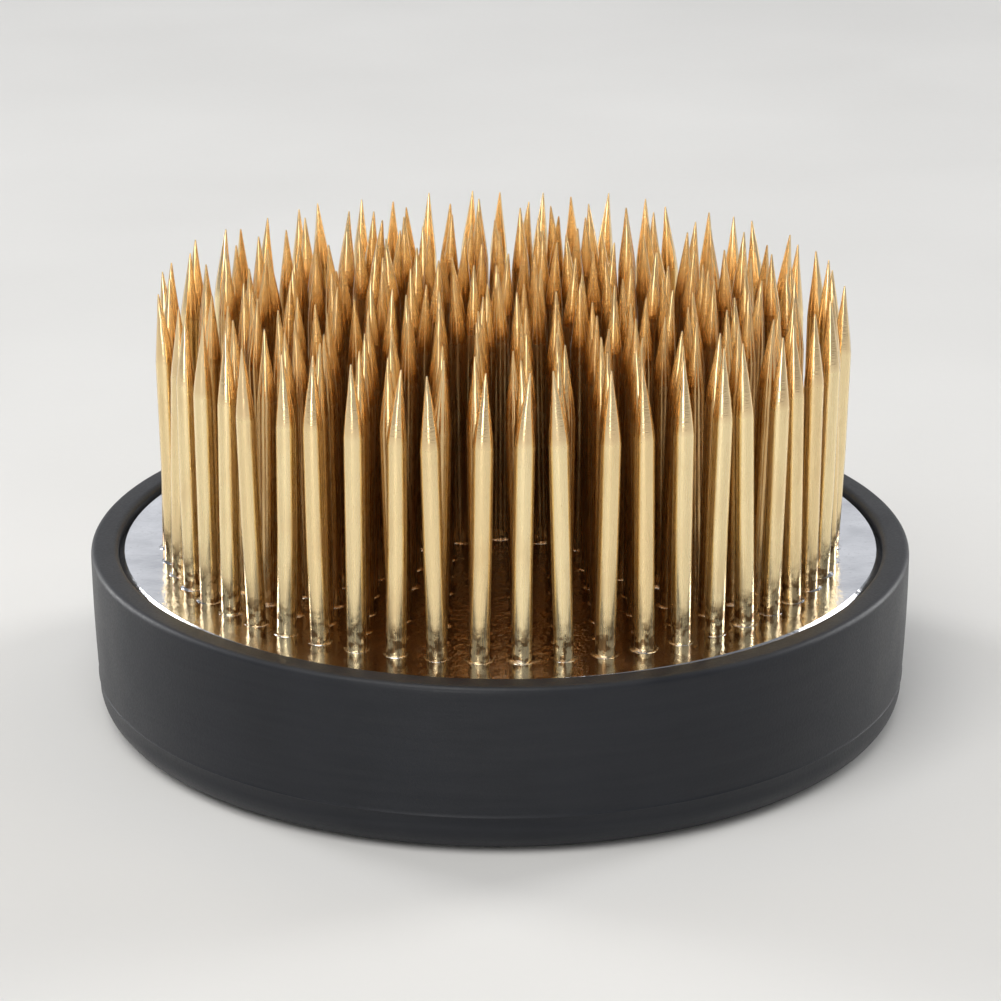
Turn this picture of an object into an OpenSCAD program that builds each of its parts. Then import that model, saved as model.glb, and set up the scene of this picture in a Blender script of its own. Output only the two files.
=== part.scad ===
// Round flower frog (kenzan): a heavy cast disc set all over with upright brass
// needles, dressed with a soft rubber ring that grips its side and pads its base.
// +Z is up, and the origin is the centre of the rubber ring's underside.

/* [Rubber ring] */
// Outer diameter of the rubber ring
ring_d = 54; // [52:1:60]
// Height of the rubber ring, from the table to its rim
ring_h = 11.2; // [10.6:0.2:13]
// Thickness of the ring's upright wall
ring_wall = 1.8; // [1.6:0.1:2.4]
// Thickness of the lip that passes under the weight
lip_t = 1.4; // [1:0.1:1.8]
// Width of that lip, measured inwards from the wall
lip_w = 4.5; // [3:0.5:8]
// Radius of the rounded lower outside edge
heel_r = 1.9; // [1:0.1:2]
// Radius of the two small rounds along the rim
rim_r = 0.35; // [0.2:0.05:0.5]

/* [Weight] */
// How far the weight's face lies below the ring's rim
face_drop = 0.45; // [0.3:0.05:1]
// Chamfer round the weight's upper and lower edge
weight_chamfer = 0.4; // [0.2:0.1:0.6]

/* [Needles] */
// Diameter of a needle
needle_d = 1.25; // [1:0.05:1.35]
// Height of the needle tips above the weight's face
needle_h = 18; // [14:0.2:18.4]
// Length of the ground point
point_l = 4.5; // [4:0.5:6]
// Depth to which a needle is driven into the weight
seat_depth = 5.5; // [4:0.5:6]
// Radius of the outermost circle of needles
outer_circle_r = 21.7; // [20.6:0.1:22]
// Needles on the outermost circle
outer_count = 53; // [44:1:54]
// Most that a needle leans out of upright, in degrees
lean_max = 1.7; // [0:0.1:1.7]
// Most that a tip stands above or below the others
tip_scatter = 0.18; // [0:0.02:0.3]

/* [Hidden] */
circles = 8;

$fn = 96;
needle_fn = 24;
ring_r = ring_d / 2;
weight_r = ring_r - ring_wall;
face_z = ring_h - face_drop;
needle_r = needle_d / 2;

// The point is ground in two cones: a short shoulder, whose share of the point's length
// comes first, and the long sharp part, which starts at this share of the needle's radius
shoulder_share = 0.3;
sharp_r_share = 0.78;
tip_r = 0.06;

// Which way each needle leans, how far, and how high its tip stands follow from these
// turns, in degrees, whose multiples never line up
way_turn = 137.5;
lean_turn = 96;
height_turn = 83;
circle_turn = 47;
// The straightest needle still leans by this share of the most
lean_least_share = 0.25;

rubber_colour = "#2c2e33";
weight_colour = "#c9ccda";
needle_colour = "#d9bd83";

// Needles on circle k: the spacing along every circle is nearly the same
function circle_count(k) = max(1, round(outer_count * k / circles));

// Bearing of needle i on circle k. Every circle starts half a step past -Y, so from that
// side the needles stand one behind another, with clear lanes between them.
function bearing(k, i) = -90 + 360 * (i + 0.5) / circle_count(k);

// Way in which needle i on circle k leans
function lean_way(k, i) = way_turn * i + circle_turn * k * k;

// How far that needle leans out of upright
function lean(k, i) =
    lean_max * (lean_least_share + (1 - lean_least_share) * abs(sin(lean_turn * i + circle_turn * k)));

// Height of that needle's tip above the weight's face
function tip_height(k, i) = needle_h + tip_scatter * sin(height_turn * i + circle_turn * k);

// Puts a child made at the origin where needle i of circle k enters the weight's face
module at_needle(k, i) {
    rotate([0, 0, bearing(k, i)])
        translate([outer_circle_r * k / circles, 0, face_z])
            rotate([0, 0, lean_way(k, i)])
                rotate([0, lean(k, i), 0])
                    children();
}

// One needle: a straight shank with its ground point, and the end that sits in the weight
module needle(h) {
    shoulder_z = h - point_l;
    sharp_z = shoulder_z + point_l * shoulder_share;
    rotate_extrude($fn = needle_fn)
        polygon([
            [0, -seat_depth],
            [needle_r, -seat_depth],
            [needle_r, shoulder_z],
            [needle_r * sharp_r_share, sharp_z],
            [tip_r, h],
            [0, h]
        ]);
}

module needle_circle(k) {
    color(needle_colour)
        for (i = [0:circle_count(k) - 1])
            at_needle(k, i)
                needle(tip_height(k, i));
}

module needle_centre() {
    color(needle_colour)
        at_needle(0, 0)
            needle(tip_height(0, 0));
}

// Cut for one needle's blind hole, which runs a little past the weight's face
module needle_hole() {
    past_face = 1;
    translate([0, 0, -seat_depth])
        cylinder(r = needle_r, h = seat_depth + past_face, $fn = needle_fn);
}

module weight() {
    color(weight_colour)
        difference() {
            rotate_extrude()
                polygon([
                    [0, lip_t],
                    [weight_r - weight_chamfer, lip_t],
                    [weight_r, lip_t + weight_chamfer],
                    [weight_r, face_z - weight_chamfer],
                    [weight_r - weight_chamfer, face_z],
                    [0, face_z]
                ]);
            for (k = [0:circles])
                for (i = [0:circle_count(k) - 1])
                    at_needle(k, i)
                        needle_hole();
        }
}

// Cut that leaves a round of radius r. Its corner is at the origin: the lower left one
// at turn 0, and then the lower right, the upper right and the upper left every 90 degrees.
module round_cut(r, turn) {
    overlap = 1;
    rotate([0, 0, turn])
        difference() {
            translate([-overlap, -overlap])
                square(r + overlap);
            translate([r, r])
                circle(r);
        }
}

// Section of the ring: an upright wall, and the lip under the weight
module ring_section() {
    difference() {
        union() {
            translate([weight_r, 0])
                square([ring_wall, ring_h]);
            translate([weight_r - lip_w, 0])
                square([lip_w + ring_wall, lip_t]);
        }
        translate([weight_r - lip_w, 0])
            round_cut(rim_r, 0);
        translate([ring_r, 0])
            round_cut(heel_r, 90);
        translate([ring_r, ring_h])
            round_cut(rim_r, 180);
        translate([weight_r, ring_h])
            round_cut(rim_r, 270);
    }
}

module rubber_ring() {
    color(rubber_colour)
        rotate_extrude()
            ring_section();
}

rubber_ring();
weight();
needle_centre();
for (k = [1:circles])
    needle_circle(k);
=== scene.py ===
# %% [markdown]
# # A round flower frog, the kind with needles
#
# This lesson dresses a small florist's tool, a kenzan. It is a heavy disc of cast white
# metal, set all over with upright brass needles, inside a soft black rubber ring. Cut stems
# are pushed onto the needles, and the weight keeps them standing in a shallow dish.
#
# The shapes that have to be right to a hundredth of a millimetre were drawn beforehand, and
# they come in as a fixed frame. Every size below is read from that frame or is a small
# detail that only the eye needs, such as the round of an edge.

# %% Load the frame
import math
import random

import bmesh
import bpy
from mathutils import Matrix, Vector


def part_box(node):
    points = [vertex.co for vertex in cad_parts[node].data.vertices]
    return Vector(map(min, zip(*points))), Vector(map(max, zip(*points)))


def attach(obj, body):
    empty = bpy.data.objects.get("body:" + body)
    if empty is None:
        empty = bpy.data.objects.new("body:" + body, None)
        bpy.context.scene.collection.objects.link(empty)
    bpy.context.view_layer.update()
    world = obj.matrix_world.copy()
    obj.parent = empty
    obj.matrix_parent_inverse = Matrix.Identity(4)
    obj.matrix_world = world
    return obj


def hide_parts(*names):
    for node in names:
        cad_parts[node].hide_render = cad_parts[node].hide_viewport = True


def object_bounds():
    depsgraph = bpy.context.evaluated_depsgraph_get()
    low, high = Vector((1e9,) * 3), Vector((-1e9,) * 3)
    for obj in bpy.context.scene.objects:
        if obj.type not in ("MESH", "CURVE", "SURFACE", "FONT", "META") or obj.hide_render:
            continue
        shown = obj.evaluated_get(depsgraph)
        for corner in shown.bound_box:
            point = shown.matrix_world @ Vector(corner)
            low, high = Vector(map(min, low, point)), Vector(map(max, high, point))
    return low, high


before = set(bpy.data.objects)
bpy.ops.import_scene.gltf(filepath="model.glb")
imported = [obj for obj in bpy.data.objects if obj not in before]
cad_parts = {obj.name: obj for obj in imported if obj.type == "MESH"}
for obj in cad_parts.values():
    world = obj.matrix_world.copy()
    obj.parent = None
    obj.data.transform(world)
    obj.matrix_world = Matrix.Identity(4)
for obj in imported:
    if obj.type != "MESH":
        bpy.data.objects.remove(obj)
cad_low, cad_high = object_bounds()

MM = 0.001
print("the object is", [round(side / MM, 2) for side in cad_high - cad_low], "mm")

# %% [markdown]
# ## Sizes that come from the frame
#
# The disc's face, the wall of the ring and the lip under the disc are all round about the
# Z axis. So each one is a radius or a height, and a handful of numbers describes them.

# %% Read the sizes


def radii(name):
    """Distance from the Z axis to each corner of a node."""
    return [math.hypot(v.co.x, v.co.y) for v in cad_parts[name].data.vertices]


ring_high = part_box("rubber_ring")[1].z
ring_radius = max(radii("rubber_ring"))
lip_radius = min(radii("rubber_ring"))
weight_radius = max(radii("weight"))
lip_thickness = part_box("weight")[0].z
face_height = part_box("weight")[1].z
print("ring", round(2 * ring_radius / MM, 2), "mm across, face at", round(face_height / MM, 2))

# %% [markdown]
# ## The camera
#
# A long lens from a little above shows the forest of needles and the wall of the ring
# together. The camera stands a little over four ring widths away, so the near side of the
# ring is a little larger than the far side, as it is to the eye.

# %% Place the camera
camera_elevation = math.radians(19.4)
ring_widths_away = 4.2
picture_in_ring_radii = 2.45
aim_share_of_height = 0.46
sensor_width = 36.0

camera_distance = ring_widths_away * 2 * ring_radius
picture_width = picture_in_ring_radii * ring_radius
aim = Vector((0, 0, aim_share_of_height * cad_high.z))
towards_camera = Vector((0, -math.cos(camera_elevation), math.sin(camera_elevation)))
camera_data = bpy.data.cameras.new("camera")
camera_data.sensor_width = sensor_width
camera_data.lens = sensor_width * camera_distance / picture_width
camera_data.clip_start = 0.01
camera = bpy.data.objects.new("camera", camera_data)
camera.location = aim + towards_camera * camera_distance
camera.rotation_euler = towards_camera.to_track_quat("Z", "Y").to_euler()
bpy.context.scene.collection.objects.link(camera)
bpy.context.scene.camera = camera
print("lens", round(camera_data.lens), "mm")

# %% [markdown]
# ## Soft studio light
#
# Polished metal shows whatever stands round it, so the light is part of the finish. Seen
# from a little above, an upright needle mirrors the table in front of it. So one wide
# softbox over the camera lights that table, and it comes back as the broad pale stripe on
# each needle. A small low one in front draws a fine bright line on each point. Two tall
# narrow ones behind the sides draw the soft edges on the black rubber. They stand well back
# and have a grid on them, so that they leave no hot patch on the table. The last one stands
# behind the object, and the bare rim of the disc reflects it, cool and bright.

# %% Light the stage


def softbox(name, bearing, elevation, distance, size, power, tint=(1, 1, 1), beam=180):
    """A rectangular light that faces the object. Bearing 0 is the camera's side.

    Angles are in degrees, the distance and the size (width, height) in metres, the power in
    watts. The beam is how wide its light fans out: 180 is bare, less has a grid on it.
    """
    data = bpy.data.lights.new(name, "AREA")
    data.shape = "RECTANGLE"
    data.size, data.size_y = size
    data.energy = power
    data.color = tint
    data.spread = math.radians(beam)
    light = bpy.data.objects.new(name, data)
    a, e = math.radians(bearing), math.radians(elevation)
    outwards = Vector((math.sin(a) * math.cos(e), -math.cos(a) * math.cos(e), math.sin(e)))
    light.location = aim + outwards * distance
    light.rotation_euler = outwards.to_track_quat("Z", "Y").to_euler()
    light.visible_camera = False
    bpy.context.scene.collection.objects.link(light)
    return light


warm = (1.0, 0.985, 0.96)
warmer = (1.0, 0.98, 0.95)
cool = (0.96, 0.97, 1.0)
softbox("overhead", -25, 58, 0.8, (0.7, 0.6), 4.6, warm)
softbox("front_low", -14, 9, 0.9, (0.30, 0.28), 1.4, warmer)
softbox("left_strip", -124, 17, 1.1, (0.29, 0.92), 1.15, beam=60)
softbox("right_strip", 122, 17, 1.1, (0.29, 0.92), 1.15, beam=60)
softbox("back_panel", 180, 24, 0.8, (1.1, 0.35), 0.7, cool)

# %% [markdown]
# The room itself is pale, and a little brighter at the horizon than overhead, because the
# rubber and the points of the needles mirror the horizon. The plain view transform keeps
# the colours as they were chosen. A filmic one would turn the brass pink and the black grey.

# %% Surround it with a pale room
horizon_colour = (0.95, 0.95, 0.96, 1)
ceiling_colour = (0.55, 0.56, 0.58, 1)
room_brightness = 0.5

world = bpy.data.worlds.new("pale_room")
world.use_nodes = True
bpy.context.scene.world = world
room = world.node_tree
direction = room.nodes.new("ShaderNodeTexCoord")
height = room.nodes.new("ShaderNodeSeparateXYZ")
sky = room.nodes.new("ShaderNodeValToRGB")
at_horizon, at_ceiling = sky.color_ramp.elements
at_horizon.position = 0.48
at_horizon.color = horizon_colour
at_ceiling.position = 0.75
at_ceiling.color = ceiling_colour
lift = room.nodes.new("ShaderNodeMapRange")
lift.inputs["From Min"].default_value = -1
lift.inputs["From Max"].default_value = 1
room.links.new(direction.outputs["Generated"], height.inputs["Vector"])
room.links.new(height.outputs["Z"], lift.inputs["Value"])
room.links.new(lift.outputs["Result"], sky.inputs["Fac"])
room.links.new(sky.outputs["Color"], room.nodes["Background"].inputs["Color"])
room.nodes["Background"].inputs["Strength"].default_value = room_brightness

# %% Keep the colours plain
bpy.context.scene.view_settings.view_transform = "Standard"

# %% [markdown]
# ## Small helpers for materials
#
# A finish is one Principled shader. What is the same all over is set on the shader itself.
# What changes from place to place, such as a stain or the grain, is a noise that reads the
# piece's own coordinates in metres, so its size is given as a real size.

# %% Material helpers


def new_material(name, **constants):
    """A material, its node tree and its shader, with the sockets that are the same all over."""
    made = bpy.data.materials.new(name)
    made.use_nodes = True
    shader = made.node_tree.nodes["Principled BSDF"]
    for socket, value in constants.items():
        shader.inputs[socket.replace("_", " ")].default_value = value
    return made, made.node_tree, shader


def coordinates(tree, stretch=(1, 1, 1)):
    """The piece's own coordinates; a stretch above 1 makes a pattern longer that way."""
    source = tree.nodes.new("ShaderNodeTexCoord")
    mapping = tree.nodes.new("ShaderNodeMapping")
    mapping.inputs["Scale"].default_value = [1 / share for share in stretch]
    tree.links.new(source.outputs["Object"], mapping.inputs["Vector"])
    return mapping.outputs["Vector"]


def noise(tree, size, detail=3.0, stretch=(1, 1, 1)):
    """A cloudy pattern whose largest spots are about size across, in metres."""
    made = tree.nodes.new("ShaderNodeTexNoise")
    made.inputs["Scale"].default_value = 1 / size
    made.inputs["Detail"].default_value = detail
    tree.links.new(coordinates(tree, stretch), made.inputs["Vector"])
    return made.outputs["Fac"]


def attribute(tree, name):
    """A number that the mesh itself carries at each corner."""
    made = tree.nodes.new("ShaderNodeAttribute")
    made.attribute_name = name
    return made.outputs["Fac"]


def spread(tree, value, low, high, start=0.3, end=0.7):
    """Turns a value that runs from start to end into one from low to high, and no further."""
    made = tree.nodes.new("ShaderNodeMapRange")
    made.inputs["From Min"].default_value = start
    made.inputs["From Max"].default_value = end
    made.inputs["To Min"].default_value = low
    made.inputs["To Max"].default_value = high
    tree.links.new(value, made.inputs["Value"])
    return made.outputs["Result"]


def mixed(tree, share, first, second):
    """Mixes two colours, each one a triple or another node's output."""
    made = tree.nodes.new("ShaderNodeMix")
    made.data_type = "RGBA"
    tree.links.new(share, made.inputs["Factor"])
    for socket, colour in (("A", first), ("B", second)):
        target = next(i for i in made.inputs if i.name == socket and i.type == "RGBA")
        if isinstance(colour, tuple):
            target.default_value = (*colour, 1)
        else:
            tree.links.new(colour, target)
    return next(o for o in made.outputs if o.type == "RGBA")


def calculated(tree, operation, first, second):
    """Two values put together, each one a number or another node's output."""
    made = tree.nodes.new("ShaderNodeMath")
    made.operation = operation
    for socket, value in zip(made.inputs, (first, second)):
        if isinstance(value, (int, float)):
            socket.default_value = value
        else:
            tree.links.new(value, socket)
    return made.outputs["Value"]


def raised(tree, shader, *layers):
    """Gives the shader relief: layers of (pattern, depth in metres), one upon another."""
    normal = None
    for pattern, depth in layers:
        bump = tree.nodes.new("ShaderNodeBump")
        bump.inputs["Strength"].default_value = 1.0
        bump.inputs["Distance"].default_value = depth
        tree.links.new(pattern, bump.inputs["Height"])
        if normal is not None:
            tree.links.new(normal, bump.inputs["Normal"])
        normal = bump.outputs["Normal"]
    tree.links.new(normal, shader.inputs["Normal"])


# %% [markdown]
# ## Black rubber
#
# Moulded rubber is never quite black and never quite even. It has a very fine grain from
# the mould, faint level streaks where it flowed, and a grey bloom along the rim and the heel:
# partly handling, and partly a painted highlight where those edges catch the light. The
# bloom is a mask on height, broken up by noise.

# %% Make the rubber
deep_black = (0.0055, 0.0068, 0.0105)
soft_black = (0.0090, 0.0105, 0.0150)
flow_grey = (0.016, 0.017, 0.021)
bloom_and_sheen_grey = (0.026, 0.027, 0.031)


def rubber_material():
    made, tree, shader = new_material("black_rubber", Specular_IOR_Level=0.36)
    patches = noise(tree, 5 * MM, 4)
    streaks = noise(tree, 0.5 * MM, 2, stretch=(14, 14, 1))
    grain = noise(tree, 0.16 * MM, 2)
    base = mixed(tree, spread(tree, patches, 0, 1), deep_black, soft_black)
    base = mixed(tree, spread(tree, streaks, 0, 0.35, 0.35, 0.75), base, flow_grey)
    place = tree.nodes.new("ShaderNodeSeparateXYZ")
    tree.links.new(coordinates(tree), place.inputs["Vector"])
    # Partly painted highlight: the rim and the heel are painted lighter where they catch the
    # light, together with a grey handling bloom.
    near_rim = spread(tree, place.outputs["Z"], 0, 1, ring_high - 0.7 * MM, ring_high)
    near_heel = spread(tree, place.outputs["Z"], 1, 0, 0.2 * MM, 1.9 * MM)
    edges = calculated(tree, "MAXIMUM", near_rim, near_heel)
    broken = spread(tree, patches, 0.12, 0.6, 0.35, 0.65)
    bloom_and_sheen = calculated(tree, "MULTIPLY", edges, broken)
    base = mixed(tree, bloom_and_sheen, base, bloom_and_sheen_grey)
    tree.links.new(base, shader.inputs["Base Color"])
    rough = spread(tree, patches, 0.38, 0.48)
    rough = calculated(tree, "ADD", rough, spread(tree, grain, 0, 0.08))
    tree.links.new(rough, shader.inputs["Roughness"])
    raised(tree, shader, (streaks, 0.012 * MM), (grain, 0.010 * MM))
    return made


black_rubber = rubber_material()

# %% [markdown]
# ## Cast white metal
#
# The disc is poured and then skimmed smooth, so it mirrors the needles, though not as a
# plate of glass would: the face rises and falls a little, and that breaks each reflection
# into blobs. Among the needles it is more bruised, because every needle was driven in there,
# and its colour is painted duller and browner: partly a water stain, and partly painted shade
# for the dark between the needles. Only the bare rim can be wiped bright. Small pits and a
# cool, cloudy tarnish finish it.

# %% Make the cast metal
tarnished = (0.46, 0.47, 0.50)
wiped_bright = (0.72, 0.73, 0.76)
pit_grey = (0.34, 0.34, 0.37)
water_stain_and_shade_brown = (0.50, 0.43, 0.34)
brown_inside = 0.78 * weight_radius
bright_outside = 0.88 * weight_radius


def cast_material():
    made, tree, shader = new_material("cast_white_metal", Metallic=1.0)
    clouds = noise(tree, 4 * MM, 5)
    ripple = noise(tree, 1.1 * MM, 2)
    dimples = noise(tree, 0.42 * MM, 2)
    pits = noise(tree, 0.22 * MM, 2)
    base = mixed(tree, spread(tree, clouds, 0, 1), tarnished, wiped_bright)
    base = mixed(tree, spread(tree, pits, 0.5, 0, 0.26, 0.36), base, pit_grey)
    from_axis = tree.nodes.new("ShaderNodeVectorMath")
    from_axis.operation = "LENGTH"
    flattened = coordinates(tree, stretch=(1, 1, 1e6))
    tree.links.new(flattened, from_axis.inputs[0])
    radius = from_axis.outputs["Value"]
    among_needles = spread(tree, radius, 1, 0, brown_inside, bright_outside)
    # Partly painted shade: among the needles the face is painted browner, a water stain and also
    # the shade between the needles.
    stain_and_shade = calculated(tree, "MULTIPLY", among_needles, spread(tree, clouds, 0.6, 1))
    base = mixed(tree, stain_and_shade, base, water_stain_and_shade_brown)
    tree.links.new(base, shader.inputs["Base Color"])
    rough = spread(tree, clouds, 0.07, 0.14)
    rough = calculated(tree, "ADD", rough, spread(tree, pits, 0.07, 0))
    tree.links.new(rough, shader.inputs["Roughness"])
    depth = spread(tree, among_needles, 0.3, 1, 0, 1)
    bruises = calculated(tree, "MULTIPLY", dimples, depth)
    raised(tree, shader, (ripple, 0.030 * MM), (bruises, 0.045 * MM), (pits, 0.006 * MM))
    return made


cast_metal = cast_material()

# %% [markdown]
# ## Needle brass
#
# A needle starts as drawn wire, and the die leaves fine lines along it. Its point is then
# ground, which leaves short lines round it and a barer surface, and its colour is painted
# warmer and browner: partly the ground brass, and partly painted shade for the dim horizon
# that the upturned point mirrors. The lowest millimetre or two carries specks of dark residue
# that also stand for painted shade and dark reflections at the foot. The outermost needles
# stay plain brass. The ones further inside are painted browner below their points and darker
# at their points, as painted shade for the dark deep inside the forest.
#
# Each needle carries three numbers in its mesh: its own tone, how far along it a corner
# lies, from 0 at the disc to 1 at the tip, and how far inside the forest it stands.

# %% Make the brass
deep_brass = (0.90, 0.68, 0.36)
pale_brass = (0.97, 0.79, 0.46)
stain_brown = (0.66, 0.43, 0.20)
ground_and_shade_warm = (0.74, 0.50, 0.28)
inner_point_shade = (0.58, 0.42, 0.22)
residue_and_shade_dark = (0.30, 0.17, 0.07)
inner_shade_brown = (0.62, 0.38, 0.16)
point_length = 4.5 * MM
shank_share = 1 - point_length / (cad_high.z - face_height)


def brass_colour(tree, tone, along, inner, stains, specks):
    """The brass of a fresh needle, stained, ground and dirtied at its foot, and partly painted
    shade.
    """
    on_point = spread(tree, along, 0, 1, shank_share - 0.005, shank_share + 0.02)
    base = mixed(tree, tone, deep_brass, pale_brass)
    base = mixed(tree, spread(tree, stains, 0, 0.35, 0.5, 0.8), base, stain_brown)
    # Partly painted shade: the point is tinted warmer and browner, for the ground brass and also
    # for the dim horizon that it mirrors.
    base = mixed(tree, calculated(tree, "MULTIPLY", on_point, 0.45), base, ground_and_shade_warm)
    # Painted shade: points further inside the forest are painted darker and browner.
    shaded_inner_point = calculated(tree, "MULTIPLY", on_point, inner)
    base = mixed(tree, calculated(tree, "MULTIPLY", shaded_inner_point, 0.7), base, inner_point_shade)
    # Partly painted shade: the specks of residue at the foot also paint the shade and the dark
    # reflections there.
    foot = spread(tree, along, 1, 0, 0.06, 0.15)
    residue_and_shade = calculated(tree, "MULTIPLY", foot, spread(tree, specks, 0, 1, 0.47, 0.56))
    base = mixed(tree, residue_and_shade, base, residue_and_shade_dark)
    # Painted shade: the shanks of the inner needles are painted browner below their points, for
    # the dark deep inside the forest.
    below_points = spread(tree, along, 1, 0, shank_share - 0.02, shank_share + 0.10)
    shaded_inner_shanks = calculated(tree, "MULTIPLY", inner, below_points)
    painted_inner_shade = calculated(tree, "MULTIPLY", shaded_inner_shanks, spread(tree, stains, 0.75, 1))
    return mixed(tree, painted_inner_shade, base, inner_shade_brown), on_point, foot


def brass_material():
    made, tree, shader = new_material("needle_brass", Metallic=1.0)
    stains = noise(tree, 1.6 * MM, 4, stretch=(1, 1, 2.5))
    drawn = noise(tree, 0.07 * MM, 2, stretch=(1, 1, 30))
    ground = noise(tree, 0.09 * MM, 2, stretch=(6, 6, 1))
    specks = noise(tree, 0.5 * MM, 3)
    tone, along, inner = (attribute(tree, name) for name in ("tone", "along", "inner"))
    base, on_point, foot = brass_colour(tree, tone, along, inner, stains, specks)
    tree.links.new(base, shader.inputs["Base Color"])
    rough = spread(tree, drawn, 0.20, 0.30)
    rough = calculated(tree, "ADD", rough, spread(tree, stains, 0, 0.10, 0.45, 0.8))
    rough = calculated(tree, "SUBTRACT", rough, calculated(tree, "MULTIPLY", on_point, 0.12))
    tree.links.new(rough, shader.inputs["Roughness"])
    on_shank = calculated(tree, "SUBTRACT", 1.0, on_point)
    drawn_lines = calculated(tree, "MULTIPLY", drawn, on_shank)
    ground_lines = calculated(tree, "MULTIPLY", ground, on_point)
    crust = calculated(tree, "MULTIPLY", specks, foot)
    raised(
        tree,
        shader,
        (drawn_lines, 0.005 * MM),
        (ground_lines, 0.010 * MM),
        (crust, 0.06 * MM),
    )
    return made


needle_brass = brass_material()

# %% [markdown]
# ## Turning a bmesh into a piece
#
# Every new piece ends the same way: doubles merged, normals outward, smooth faces with
# sharp edges only where the surface really turns, and a ride on the body it belongs to.

# %% Finish a piece
SHARP_ANGLE = math.radians(38)


def finished_piece(bm, name, material, replaced=()):
    """Makes an object of a bmesh on the root body, and hides the nodes named, which it replaces.
    """
    bmesh.ops.remove_doubles(bm, verts=bm.verts, dist=0.001 * MM)
    bmesh.ops.recalc_face_normals(bm, faces=bm.faces)
    for face in bm.faces:
        face.smooth = True
    mesh = bpy.data.meshes.new(name)
    bm.to_mesh(mesh)
    bm.free()
    mesh.materials.append(material)
    mesh.set_sharp_from_angle(angle=SHARP_ANGLE)
    piece = bpy.data.objects.new(name, mesh)
    bpy.context.scene.collection.objects.link(piece)
    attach(piece, "root")
    if replaced:
        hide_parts(*replaced)
    print(name, "has", len(mesh.polygons), "faces")
    return piece


def spun(bm, outline, steps, closed):
    """Spins an outline of (radius, height) points a full turn round Z."""
    points = [bm.verts.new((r, 0, z)) for r, z in outline]
    pairs = list(zip(points, points[1:]))
    if closed:
        pairs.append((points[-1], points[0]))
    lines = [bm.edges.new(pair) for pair in pairs]
    bmesh.ops.spin(
        bm,
        geom=points + lines,
        axis=(0, 0, 1),
        cent=(0, 0, 0),
        angle=math.tau,
        steps=steps,
        use_merge=True,
    )


# %% [markdown]
# ## The rubber ring
#
# The ring is moulded a size too small and stretched over the disc, so it grips the side and
# its lip turns in underneath. It could be a cylinder with bevels, but its section is what
# the eye reads: a wall that draws in a little towards the table, a full round heel, a small
# round along the rim, and the thin raised line where the two halves of the mould met.
# So the section is drawn once, with its rounds as arcs, and spun.

# %% Draw the ring's section
rim_round = 0.4 * MM
heel_round = 1.9 * MM
lip_round = 0.3 * MM
draw_in = 0.28 * MM
mould_line_height = 2.6 * MM
mould_line_width = 0.16 * MM
mould_line_out = 0.045 * MM
WALL_STEPS = 8


def arc(centre_r, centre_z, radius, first, last, steps):
    """Points along an arc of the section, from one angle to another in degrees."""
    angles = [math.radians(first + (last - first) * i / steps) for i in range(steps + 1)]
    return [(centre_r + radius * math.cos(a), centre_z + radius * math.sin(a)) for a in angles]


def wall_radius(z):
    """Outside of the wall at a height: upright at the rim, and drawn in towards the heel."""
    share = (ring_high - z) / (ring_high - heel_round)
    return ring_radius - draw_in * share * share


def wall_points():
    """The outer wall from the heel to the rim, with the mould line standing out of it."""
    half = mould_line_width / 2
    heights = [mould_line_height - half, mould_line_height, mould_line_height + half]
    points = [(wall_radius(z), z) for z in heights]
    points[1] = (points[1][0] + mould_line_out, points[1][1])
    low = mould_line_height + 3 * half
    high = ring_high - 1.4 * rim_round
    for i in range(WALL_STEPS + 1):
        z = low + (high - low) * i / WALL_STEPS
        points.append((wall_radius(z), z))
    return points


def ring_section():
    heel_r = wall_radius(heel_round) - heel_round
    section = arc(lip_radius + lip_round, lip_round, lip_round, 180, 270, 5)
    section += arc(heel_r, heel_round, heel_round, -90, 0, 14)
    section += wall_points()
    section += arc(ring_radius - rim_round, ring_high - rim_round, rim_round, 0, 90, 7)
    section += arc(weight_radius + rim_round, ring_high - rim_round, rim_round, 90, 180, 6)
    section += [(weight_radius, lip_thickness)]
    section += arc(lip_radius + lip_round, lip_thickness - lip_round, lip_round, 90, 180, 5)
    return section


# %% [markdown]
# A stretched ring is never perfectly true. Its rim dips by up to a quarter of a millimetre,
# most of all at the front right, where the bright edge of the disc peeps over it. Its wall
# leans in a little in places. Slow waves do both.

# %% Spin the ring
RING_STEPS = 240
rim_dip = 0.22 * MM
rim_waves = [(0.3, 1, 0.7), (0.2, 3, 2.4)]
wall_give = 0.09 * MM
wall_waves = [(0.3, 3, 0.33), (0.2, 7, -1.57)]


def wave(a, parts):
    """From 0 to 1, in waves round the ring; each part is (share, how many, phase)."""
    return 0.5 + sum(share * math.cos(count * a + phase) for share, count, phase in parts)


def relaxed(bm):
    """Lets the rim dip and the outer wall give a little, in slow waves round the ring."""
    middle_of_wall = (ring_radius + weight_radius) / 2
    for v in bm.verts:
        a = math.atan2(v.co.y, v.co.x)
        upper = max(0.0, (v.co.z - heel_round) / (ring_high - heel_round)) ** 2
        v.co.z -= rim_dip * upper * wave(a, rim_waves)
        radius = math.hypot(v.co.x, v.co.y)
        if radius > middle_of_wall:
            share = 1 - wall_give * upper * wave(a, wall_waves) / radius
            v.co.x *= share
            v.co.y *= share


ring_bm = bmesh.new()
spun(ring_bm, ring_section(), RING_STEPS, closed=True)
relaxed(ring_bm)
finished_piece(ring_bm, "rubber_ring_moulded", black_rubber, ["rubber_ring"])

# %% [markdown]
# ## The disc
#
# The disc stays as it was drawn, because its blind holes are true bores. It only gets the
# cast metal, which goes into its own material slot.

# %% Dress the disc
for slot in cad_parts["weight"].material_slots:
    slot.material = cast_metal

# %% [markdown]
# ## Finding the needles
#
# Each circle of needles is one node, a group of separate solids. Every solid is an island
# of faces. The middle of its lowest corners is where the needle starts inside the disc, and
# the middle of its highest ones is its tip, so the way it leans is read, not guessed.

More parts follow.
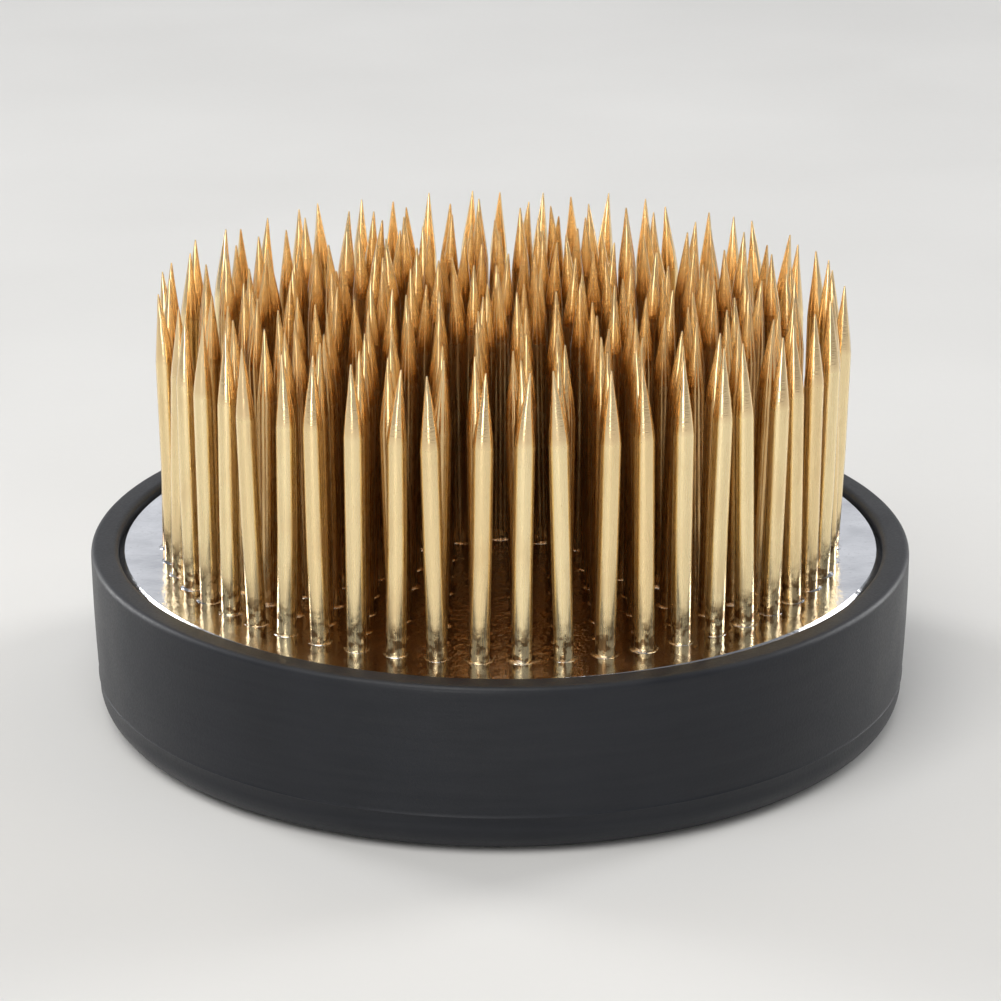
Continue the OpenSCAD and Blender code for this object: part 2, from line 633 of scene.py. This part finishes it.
# %% Read each needle's place


def islands(bm):
    """Groups of corners that hang together, in the order in which they lie in the mesh."""
    for v in bm.verts:
        v.tag = False
    for first in bm.verts:
        if first.tag:
            continue
        first.tag = True
        group = [first]
        for v in group:
            for edge in v.link_edges:
                neighbour = edge.other_vert(v)
                if not neighbour.tag:
                    neighbour.tag = True
                    group.append(neighbour)
        yield group


def middle(points):
    return sum(points, Vector()) / len(points)


def bearing_from_front(needle):
    """Angle of a needle round the disc from -Y, where no circle has a needle."""
    start = needle[0]
    return (math.atan2(start.y, start.x) + math.pi / 2) % math.tau


def needle_axes(name):
    """The start, tip and radius of every needle of a node, in order round the disc."""
    bm = bmesh.new()
    bm.from_mesh(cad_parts[name].data)
    bmesh.ops.remove_doubles(bm, verts=bm.verts, dist=0.001 * MM)
    found = []
    for group in islands(bm):
        low = min(v.co.z for v in group)
        high = max(v.co.z for v in group)
        base = [v.co.copy() for v in group if v.co.z < low + 0.1 * MM]
        top = [v.co.copy() for v in group if v.co.z > high - 0.02 * MM]
        start = middle(base)
        radius = max((corner - start).length for corner in base)
        found.append((start, middle(top), radius))
    bm.free()
    return sorted(found, key=bearing_from_front)


needle_nodes = sorted(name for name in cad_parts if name.startswith("needle"))
needles = {name: needle_axes(name) for name in needle_nodes}
print({name: len(found) for name, found in needles.items()})

# %% [markdown]
# ## The needles
#
# There are hundreds of needles, so each has only a few dozen faces: a round of twelve
# corners at each height where the needle changes. One outline is spun into a single needle.
# It is then copied for each place and made its own: the point is ground a little off the
# axis, the shank has a slight bow, and its tone differs from its neighbour's.

# %% Make one needle
NEEDLE_SIDES = 12
point_profile = [(0, 1), (0.12, 0.93), (0.3, 0.78), (0.64, 0.43), (1, 0.08)]


def needle_heights(length, seat):
    """Heights of a needle's rounds, from its start inside the disc to its tip."""
    shoulder = length - point_length
    above = [shoulder + point_length * share for share, width in point_profile]
    return [0.0, seat, (seat + shoulder) / 2, *above]


def needle_radii(radius):
    """The radius at each of those heights."""
    return [radius, radius, radius, *(radius * width for share, width in point_profile)]


def plain_needle(length, seat, radius):
    """A needle that stands on the origin, as a bmesh."""
    bm = bmesh.new()
    outline = list(zip(needle_radii(radius), needle_heights(length, seat)))
    spun(bm, [(0, 0.0), *outline, (0, length)], NEEDLE_SIDES, closed=False)
    bmesh.ops.remove_doubles(bm, verts=bm.verts, dist=0.001 * MM)
    return bm


# %% [markdown]
# The off-axis grinding moves each round of the point sideways, more and more towards the
# tip. The bow moves only the middle of the shank. Both go a different way on each needle,
# and the order of the draws is fixed, so the result is the same each time.

# %% Place every needle
draw = random.Random(54)
off_axis_most = 0.30 * MM
off_axis_least_share = 0.2
off_axis_curve = 1.4
bow_most = 0.07 * MM
inner_per_circle = 0.75


def from_axis(point):
    return math.hypot(point.x, point.y)


all_starts = [start for found in needles.values() for start, tip, radius in found]
outermost = max(from_axis(start) for start in all_starts)
between_circles = outermost / (len(needles) - 1)


def add_needle(bm, start, tip, radius, layers):
    """Adds one needle to a bmesh, along its own axis, with its own small faults."""
    circles_in = (outermost - from_axis(start)) / between_circles
    inner = min(1.0, inner_per_circle * circles_in)
    axis = tip - start
    length = axis.length
    seat = length * (face_height - start.z) / axis.z
    shoulder = length - point_length
    off_way, bow_way = draw.uniform(0, math.tau), draw.uniform(0, math.tau)
    off_axis = draw.uniform(off_axis_least_share, 1.0) * off_axis_most
    bow = draw.uniform(-1, 1) * bow_most
    tone = draw.random()
    turn = Matrix.Rotation(draw.uniform(0, math.tau), 4, "Z")
    one = plain_needle(length, seat, radius)
    for v in one.verts:
        height = v.co.z
        v.co = turn @ v.co
        ground = off_axis * max(0.0, (height - shoulder) / point_length) ** off_axis_curve
        bowed = bow * max(0.0, (height - seat) * (shoulder - height)) * 4 / (shoulder - seat) ** 2
        v.co.x += ground * math.cos(off_way) + bowed * math.cos(bow_way)
        v.co.y += ground * math.sin(off_way) + bowed * math.sin(bow_way)
    place = Matrix.Translation(start) @ axis.to_track_quat("Z", "Y").to_matrix().to_4x4()
    bmesh.ops.transform(one, matrix=place, verts=one.verts)
    scratch = bpy.data.meshes.new("one_needle")
    one.to_mesh(scratch)
    one.free()
    before = len(bm.verts)
    bm.from_mesh(scratch)
    bpy.data.meshes.remove(scratch)
    bm.verts.ensure_lookup_table()
    for v in bm.verts[before:]:
        v[layers["tone"]] = tone
        v[layers["along"]] = max(0.0, (v.co.z - face_height) / (tip.z - face_height))
        v[layers["inner"]] = inner


def needle_piece(name):
    """All the needles of one circle as a piece that stands for that circle's node."""
    bm = bmesh.new()
    layers = {key: bm.verts.layers.float.new(key) for key in ("tone", "along", "inner")}
    for start, tip, radius in needles[name]:
        add_needle(bm, start, tip, radius, layers)
    return finished_piece(bm, name + "_ground", needle_brass, [name])


for name in needle_nodes:
    needle_piece(name)

# %% [markdown]
# ## The burrs
#
# Where a needle is driven in, the soft metal is pushed up round it into a tiny crumpled
# burr. It is at most a fifth of a millimetre high, but it catches the light at every foot.
# Each burr is a small section spun in a few steps, made uneven and moved to its needle.

# %% Raise the burrs
burr_out = 0.34 * MM
burr_high = 0.20 * MM
sunk = 0.06 * MM
into_needle = 0.04 * MM
burr_profile = [(0.75, 0.15), (0.30, 0.55)]
BURR_SIDES = 12


def add_burr(bm, start, tip, radius):
    """Adds the burr at one needle's foot."""
    share = (face_height - start.z) / (tip.z - start.z)
    foot = start.lerp(tip, share)
    inside = radius - into_needle
    size = draw.uniform(0.5, 1.1)
    out, high = burr_out * size, burr_high * size
    slope = [(radius + out * along, high * up) for along, up in burr_profile]
    outline = [(inside, -sunk), (radius + out, -sunk), *slope, (inside, high)]
    before = len(bm.verts)
    spun(bm, outline, BURR_SIDES, closed=True)
    bm.verts.ensure_lookup_table()
    high_way = draw.uniform(0, math.tau)
    for v in bm.verts[before:]:
        if v.co.z > 0:
            way = math.atan2(v.co.y, v.co.x)
            crumple = draw.uniform(-0.3, 0.4)
            v.co.z *= 0.5 + 0.3 * math.cos(way - high_way) + crumple
    bmesh.ops.translate(bm, vec=foot, verts=bm.verts[before:])


burrs_bm = bmesh.new()
for name in needle_nodes:
    for needle in needles[name]:
        add_burr(burrs_bm, *needle)
finished_piece(burrs_bm, "needle_burrs", cast_metal)

# %% [markdown]
# ## The floor
#
# A plain pale table top, large enough to reach the horizon from low down. It is not part of
# the object. Its faint mottling keeps the shadow from looking as if it lay on paper. It is
# quite matt, because even a slight sheen shows the tall lights behind the object as glare.

# %% Lay the floor
stone = (0.68, 0.675, 0.66)
pale_stone = (0.74, 0.735, 0.72)
FLOOR_RADIUS = 4.0


def floor_material():
    made, tree, shader = new_material("pale_table", Specular_IOR_Level=0.05)
    mottle = noise(tree, 60 * MM, 3)
    tooth = noise(tree, 0.8 * MM, 2)
    base = mixed(tree, spread(tree, mottle, 0, 1), stone, pale_stone)
    tree.links.new(base, shader.inputs["Base Color"])
    tree.links.new(spread(tree, tooth, 0.5, 0.62), shader.inputs["Roughness"])
    raised(tree, shader, (tooth, 0.01 * MM))
    return made


floor_bm = bmesh.new()
bmesh.ops.create_circle(floor_bm, cap_ends=True, segments=64, radius=FLOOR_RADIUS)
floor_mesh = bpy.data.meshes.new("floor")
floor_bm.to_mesh(floor_mesh)
floor_bm.free()
floor_mesh.materials.append(floor_material())
floor = bpy.data.objects.new("floor", floor_mesh)
bpy.context.scene.collection.objects.link(floor)
